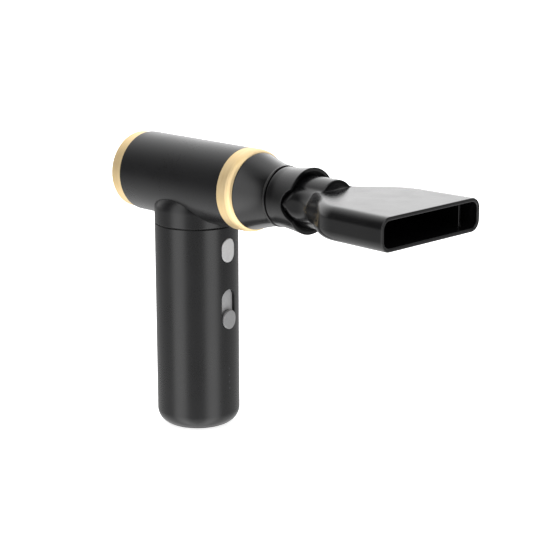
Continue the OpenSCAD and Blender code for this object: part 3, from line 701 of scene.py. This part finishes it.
def body_h(x):
    """Half the flat body's height, which starts from nothing at the round wings' ends."""
    return min(MOUTH_HALF_H, 0.1 * MM + math.sqrt(max(0, WING_R ** 2 - max(0, SCOOP_X - x) ** 2)))


def squared(x):
    """How much the body's corners have tightened from a full round."""
    return (MOUTH_HALF_H - MOUTH_ROUND) * ease((x - NECK_END) / (CORNER_END - NECK_END))


def neck_pipe_r(x):
    """The round neck's radius: straight, over a rounded edge, then down a hollow step."""
    edge = max(0, x - NECK_END + NECK_EDGE)
    if x < NECK_END:
        return NECK_PIPE_R - (NECK_EDGE - math.sqrt(NECK_EDGE ** 2 - edge ** 2)) / 2
    t = min(1, (x - NECK_END) / STEP_RUN)
    rim = NECK_PIPE_R - NECK_EDGE / 2
    return rim - (rim - MOUTH_HALF_H + CREASE) * math.sqrt(1 - (1 - t) ** 2)


def edge_at(a, w, h, r):
    """Distance from the middle to a rounded rectangle's edge in the direction a."""
    c, s = abs(math.cos(a)), abs(math.sin(a))
    mw, mh = w - r, h - r
    if w * s <= mh * c:
        return w / c
    if h * c <= mw * s:
        return h / s
    b = mw * c + mh * s
    return b + math.sqrt(max(0, b * b - (mw * mw + mh * mh - r * r)))


def section(x, w, h, r, pipe=0.0, crease=0.0):
    """One ring of the nozzle's skin, blended with the round neck where there is one."""
    ring = []
    for i in range(NOZZLE_AROUND):
        t = math.tau * (i + 0.5) / NOZZLE_AROUND
        a = math.atan2(max(h, MOUTH_HALF_H) * math.sin(t), w * math.cos(t))
        d = edge_at(a, w, h, r)
        if pipe > 0:
            blend = max(0, crease - abs(pipe - d))
            d = max(pipe, d) + blend * blend / (4 * crease)
        ring.append((x, d * math.cos(a), BARREL_Z + d * math.sin(a)))
    return ring


def outer_section(x, inset=0.0):
    """The outside at x, drawn in by a little where the lip rounds over."""
    pipe = neck_pipe_r(x) if x < NECK_END + STEP_RUN else 0.0
    w, h = body_w(x) - inset, body_h(x) - inset
    r = min(h - 0.05 * MM - squared(x), w - CREASE_Y)
    return section(x, w, h, r, pipe, CREASE)


def inner_section(x, inset=0.0):
    """The air passage at x, widened by a little where the lip rounds over."""
    full, low = NECK_PIPE_R - NOZZLE_WALL, MOUTH_HALF_H - NOZZLE_WALL
    h = full + (low - full) * ease((x - NECK_START) / (NECK_END - 3 * MM - NECK_START))
    w = full + widened(x, DUCT_START, NECK_PIPE_R)
    r = min(h, w) - 0.05 * MM - squared(x)
    return section(x, w + inset, h + inset, r + inset)


spans = ((NECK_START, SCOOP_X, 34), (SCOOP_X, NECK_END - NECK_EDGE, 14),
         (NECK_END + STEP_RUN, CORNER_END, 14), (CORNER_END, SHOULDER_END, 10),
         (SHOULDER_END, MOUTH_X - LIP_ROUND, 14))
stations = [a + (b - a) * k / n for a, b, n in spans for k in range(n)]
stations += [NECK_END - NECK_EDGE * (1 - math.sin(math.radians(a))) for a in range(0, 90, 15)]
stations += [NECK_END + STEP_RUN * (1 - math.cos(math.radians(a))) for a in range(0, 90, 6)]
stations = sorted(stations)
lip = [(MOUTH_X - LIP_ROUND * (1 - math.sin(math.radians(a))), LIP_ROUND * (1 - math.cos(math.radians(a))))
       for a in range(0, 91, 15)]
rings = [outer_section(x) for x in stations]
rings += [outer_section(x, inset) for x, inset in lip]
rings += [inner_section(x, inset) for x, inset in reversed(lip)]
rings += [inner_section(x) for x in reversed(stations)]
skin = ring_mesh("skin", rings)

# Each rib stands on small fillets: (height from the passage's wall, spread) in mm.
RIB_FILLET = ((-0.5, 1.1), (0.0, 0.9), (0.25, 0.45), (0.6, 0.15), (1.1, 0.0))
RIB_REACH = MOUTH_HALF_H - NOZZLE_WALL
ribs = []
for side in (-1, 1):
    rings = []
    for end in (-1, 1):
        for lift, spread in RIB_FILLET[::-end]:
            outline = rounded_outline(RIB_FRONT - RIB_BACK + spread * MM, RIB_T + 2 * spread * MM,
                                      0.3 * MM, 4)
            z = BARREL_Z + end * (RIB_REACH - lift * MM)
            rings.append([((RIB_BACK + RIB_FRONT) / 2 + a, side * RIB_Y + b, z) for a, b in outline])
    ribs.append(ring_mesh("rib", rings, closed=False))
fitted("flat_nozzle", joined("flat_nozzle", [skin] + ribs), "nozzle", "flat_nozzle", nozzle_plastic)

# ---------------------------------------------------------------- charge lights
# Four white light chips stand on the control board, and one clear moulding pipes their
# light through the grip's wall. Its ends show as four small smoked dots.


def finish_nodes(finish, *names):
    """Gives CAD solids that stay as they are their finish."""
    for name in names:
        slots = bpy.data.objects[name].data.materials
        slots.clear()
        slots.append(finish)


# Polycarbonate, moulded clear and smoked: glossy, with a slight haze, so that an unlit
# pipe is a dot only a little paler than the tube.
smoked_polycarbonate = grained("smoked_polycarbonate", "#2f3032", "#3b3c3f", 0.6 * MM, 0.32, 0.003 * MM)

# Light chips: a white ceramic cup with a faint speckle.
white_ceramic = grained("white_chip_ceramic", "#dcdcd4", "#ecece6", 0.3 * MM, 0.5, 0.004 * MM,
                        cloud=3 * MM)
finish_nodes(smoked_polycarbonate, "light_pipes")
finish_nodes(white_ceramic, "light_chips")

# ---------------------------------------------------------------- intake
# A spoked guard snapped in the rear ring and a punched steel sheet behind it keep fingers
# and grit out of the fan.

guard = bpy.data.objects["intake_grille"]
rounding = guard.modifiers.new("rounded_bars", "BEVEL")
rounding.width = 0.3 * MM
rounding.segments = 3
rounding.limit_method = "ANGLE"
rounding.angle_limit = math.radians(50)
finish_nodes(cap_abs, "intake_grille")

# Bright steel: zinc plated or ground, with fine marks along its length at 0.2 mm, drawn
# at 0.35 mm, and small differences of gloss where it has been handled.
bright_steel = grained("bright_plated_steel", "#9c9da0", "#b4b5b7", 0.35 * MM, 0.3, 0.005 * MM,
                       stretch=(0.2, 1, 1), spread=0.07, metallic=1.0, cloud=5 * MM)
finish_nodes(bright_steel, "intake_mesh", "base_screws", "neck_screws", "rear_bearing", "front_bearing",
             "motor_shaft", "hub_nut", "cell_straps", "charge_port")

# ---------------------------------------------------------------- duct and fan
# The air duct is a glass-filled sleeve on two rubber rings. The machined impeller runs in
# it, and the motor's casing stands on guide vanes with a cone behind it.

# Glass-filled nylon: grey black and dry, with short pale fibres at the skin. The fibres,
# 0.01 mm thick, are drawn at 0.3 mm.
filled_nylon = grained("glass_filled_nylon", "#151516", "#242425", 0.3 * MM, 0.55, 0.02 * MM,
                       stretch=(0.25, 1, 1), cloud=8 * MM)
finish_nodes(filled_nylon, "duct_sleeve", "tail_cone", "outlet_collar")
finish_nodes(soft_rubber, "rear_mount_ring", "front_mount_ring", "wire_grommet")

# Turned aluminium: bright, with a tool mark at each 0.1 mm of feed, drawn at 0.35 mm.
turned_aluminium = grained("turned_aluminium", "#b6b8ba", "#cfd1d3", 0.35 * MM, 0.34, 0.01 * MM,
                           stretch=(1, 0.15, 0.15), spread=0.06, metallic=1.0, cloud=7 * MM)
finish_nodes(turned_aluminium, "motor_housing", "motor_end_bell", "impeller")

# Silicone rubber, moulded: a soft matte red with faint clouding.
red_silicone = grained("moulded_silicone", "#8f1f1b", "#a52a24", 0.7 * MM, 0.55, 0.01 * MM)
finish_nodes(red_silicone, "adapter_seal", "motor_leads", "battery_leads")

# Electrical steel: 0.35 mm sheets stacked along the shaft, so that the bore shows a fine
# line at each joint. The lines are drawn at 0.7 mm.
SHEET_PITCH = 0.7 * MM
WAVE_FACTOR = math.pi / 10
stacked_steel = grained("stacked_electrical_steel", "#6c6e72", "#85878b", 0.5 * MM, 0.4, 0.004 * MM,
                        metallic=1.0)
stack = stacked_steel.node_tree
place_in = add(stack, "ShaderNodeTexCoord").outputs["Object"]
sheets = add(stack, "ShaderNodeTexWave", {"Vector": place_in, "Scale": WAVE_FACTOR / SHEET_PITCH},
             bands_direction="X").outputs["Fac"]
joints = add(stack, "ShaderNodeMapRange", {"Value": sheets, "From Min": 0.0,
                                           "From Max": 0.25}).outputs["Result"]
stack_bump = add(stack, "ShaderNodeBump", {"Height": joints, "Distance": 0.05 * MM}).outputs["Normal"]
stack.links.new(stack_bump, stack.nodes["Principled BSDF"].inputs["Normal"])
finish_nodes(stacked_steel, "stator_core")

# Enamelled copper wire, wound 0.3 mm thick: turns lie side by side across each tooth and
# shine a dark orange. They are drawn at 0.6 mm.
WIRE_PITCH = 0.6 * MM
wound_copper = grained("wound_enamelled_copper", "#a4561d", "#c06c2a", 0.5 * MM, 0.28, 0.004 * MM,
                       metallic=1.0)
winding = wound_copper.node_tree
place_in = add(winding, "ShaderNodeTexCoord").outputs["Object"]
turns = add(winding, "ShaderNodeTexWave", {"Vector": place_in, "Scale": WAVE_FACTOR / WIRE_PITCH},
            bands_direction="Z").outputs["Fac"]
wire_bump = add(winding, "ShaderNodeBump", {"Height": turns, "Distance": 0.12 * MM}).outputs["Normal"]
winding.links.new(wire_bump, winding.nodes["Principled BSDF"].inputs["Normal"])
finish_nodes(wound_copper, "stator_coils")

# Nickel-plated magnet: a warm mirror grey with faint handling marks.
nickel_plate = grained("nickel_plated_magnet", "#97928a", "#aaa59c", 0.4 * MM, 0.22, 0.003 * MM,
                       metallic=1.0, cloud=4 * MM)
finish_nodes(nickel_plate, "rotor_magnet")

# ---------------------------------------------------------------- battery
# Three wrapped cells stand in two moulded holders, joined by welded straps. Two leads run
# past them from the charge board to the driver board.

# PVC shrink wrap: a thin bright teal film, glossy, with fine wrinkles about 1 mm apart.
shrink_wrap = grained("pvc_shrink_wrap", "#14756f", "#1b8a82", 1.0 * MM, 0.26, 0.03 * MM,
                      stretch=(1, 1, 0.3))
finish_nodes(shrink_wrap, "cell_left", "cell_right", "cell_back")

# Natural nylon: moulded undyed, milky and slightly mottled, with a waxy soft shine.
natural_nylon = grained("natural_nylon", "#d9d5c6", "#e6e3d6", 0.8 * MM, 0.42, 0.01 * MM,
                        cloud=9 * MM)
finish_nodes(natural_nylon, "cell_holder_lower", "cell_holder_upper")

# ---------------------------------------------------------------- boards
# Three circuit boards: one for charging at the base, one behind the controls and one that
# drives the motor. Their parts are soldered on.

# Solder mask on glass epoxy: green and glossy. Traces stand up under it as paler lines,
# about 0.3 mm apart on the real board and drawn at 1.2 mm.
TRACE_PITCH = 1.2 * MM
solder_mask = grained("solder_masked_laminate", "#0b3d1e", "#115029", 0.5 * MM, 0.3, 0.004 * MM)
etched = solder_mask.node_tree
place_in = add(etched, "ShaderNodeTexCoord").outputs["Object"]
cells = add(etched, "ShaderNodeTexBrick", {"Vector": place_in, "Scale": 1 / TRACE_PITCH,
                                           "Mortar Size": 0.12,
                                           "Color1": (0, 0, 0, 1), "Color2": (0, 0, 0, 1),
                                           "Mortar": (1, 1, 1, 1)}).outputs["Color"]
trace_bump = add(etched, "ShaderNodeBump", {"Height": cells, "Distance": 0.035 * MM}).outputs["Normal"]
etched.links.new(trace_bump, etched.nodes["Principled BSDF"].inputs["Normal"])
finish_nodes(solder_mask, "charge_board", "control_board", "driver_board")

# Moulded epoxy: the charcoal skin of switches, capacitors and chips, finely pitted.
moulded_epoxy = grained("moulded_epoxy", "#232427", "#303135", 0.4 * MM, 0.48, 0.01 * MM, cloud=4 * MM)
finish_nodes(moulded_epoxy, "tact_switch", "slider_pot", "driver_parts")
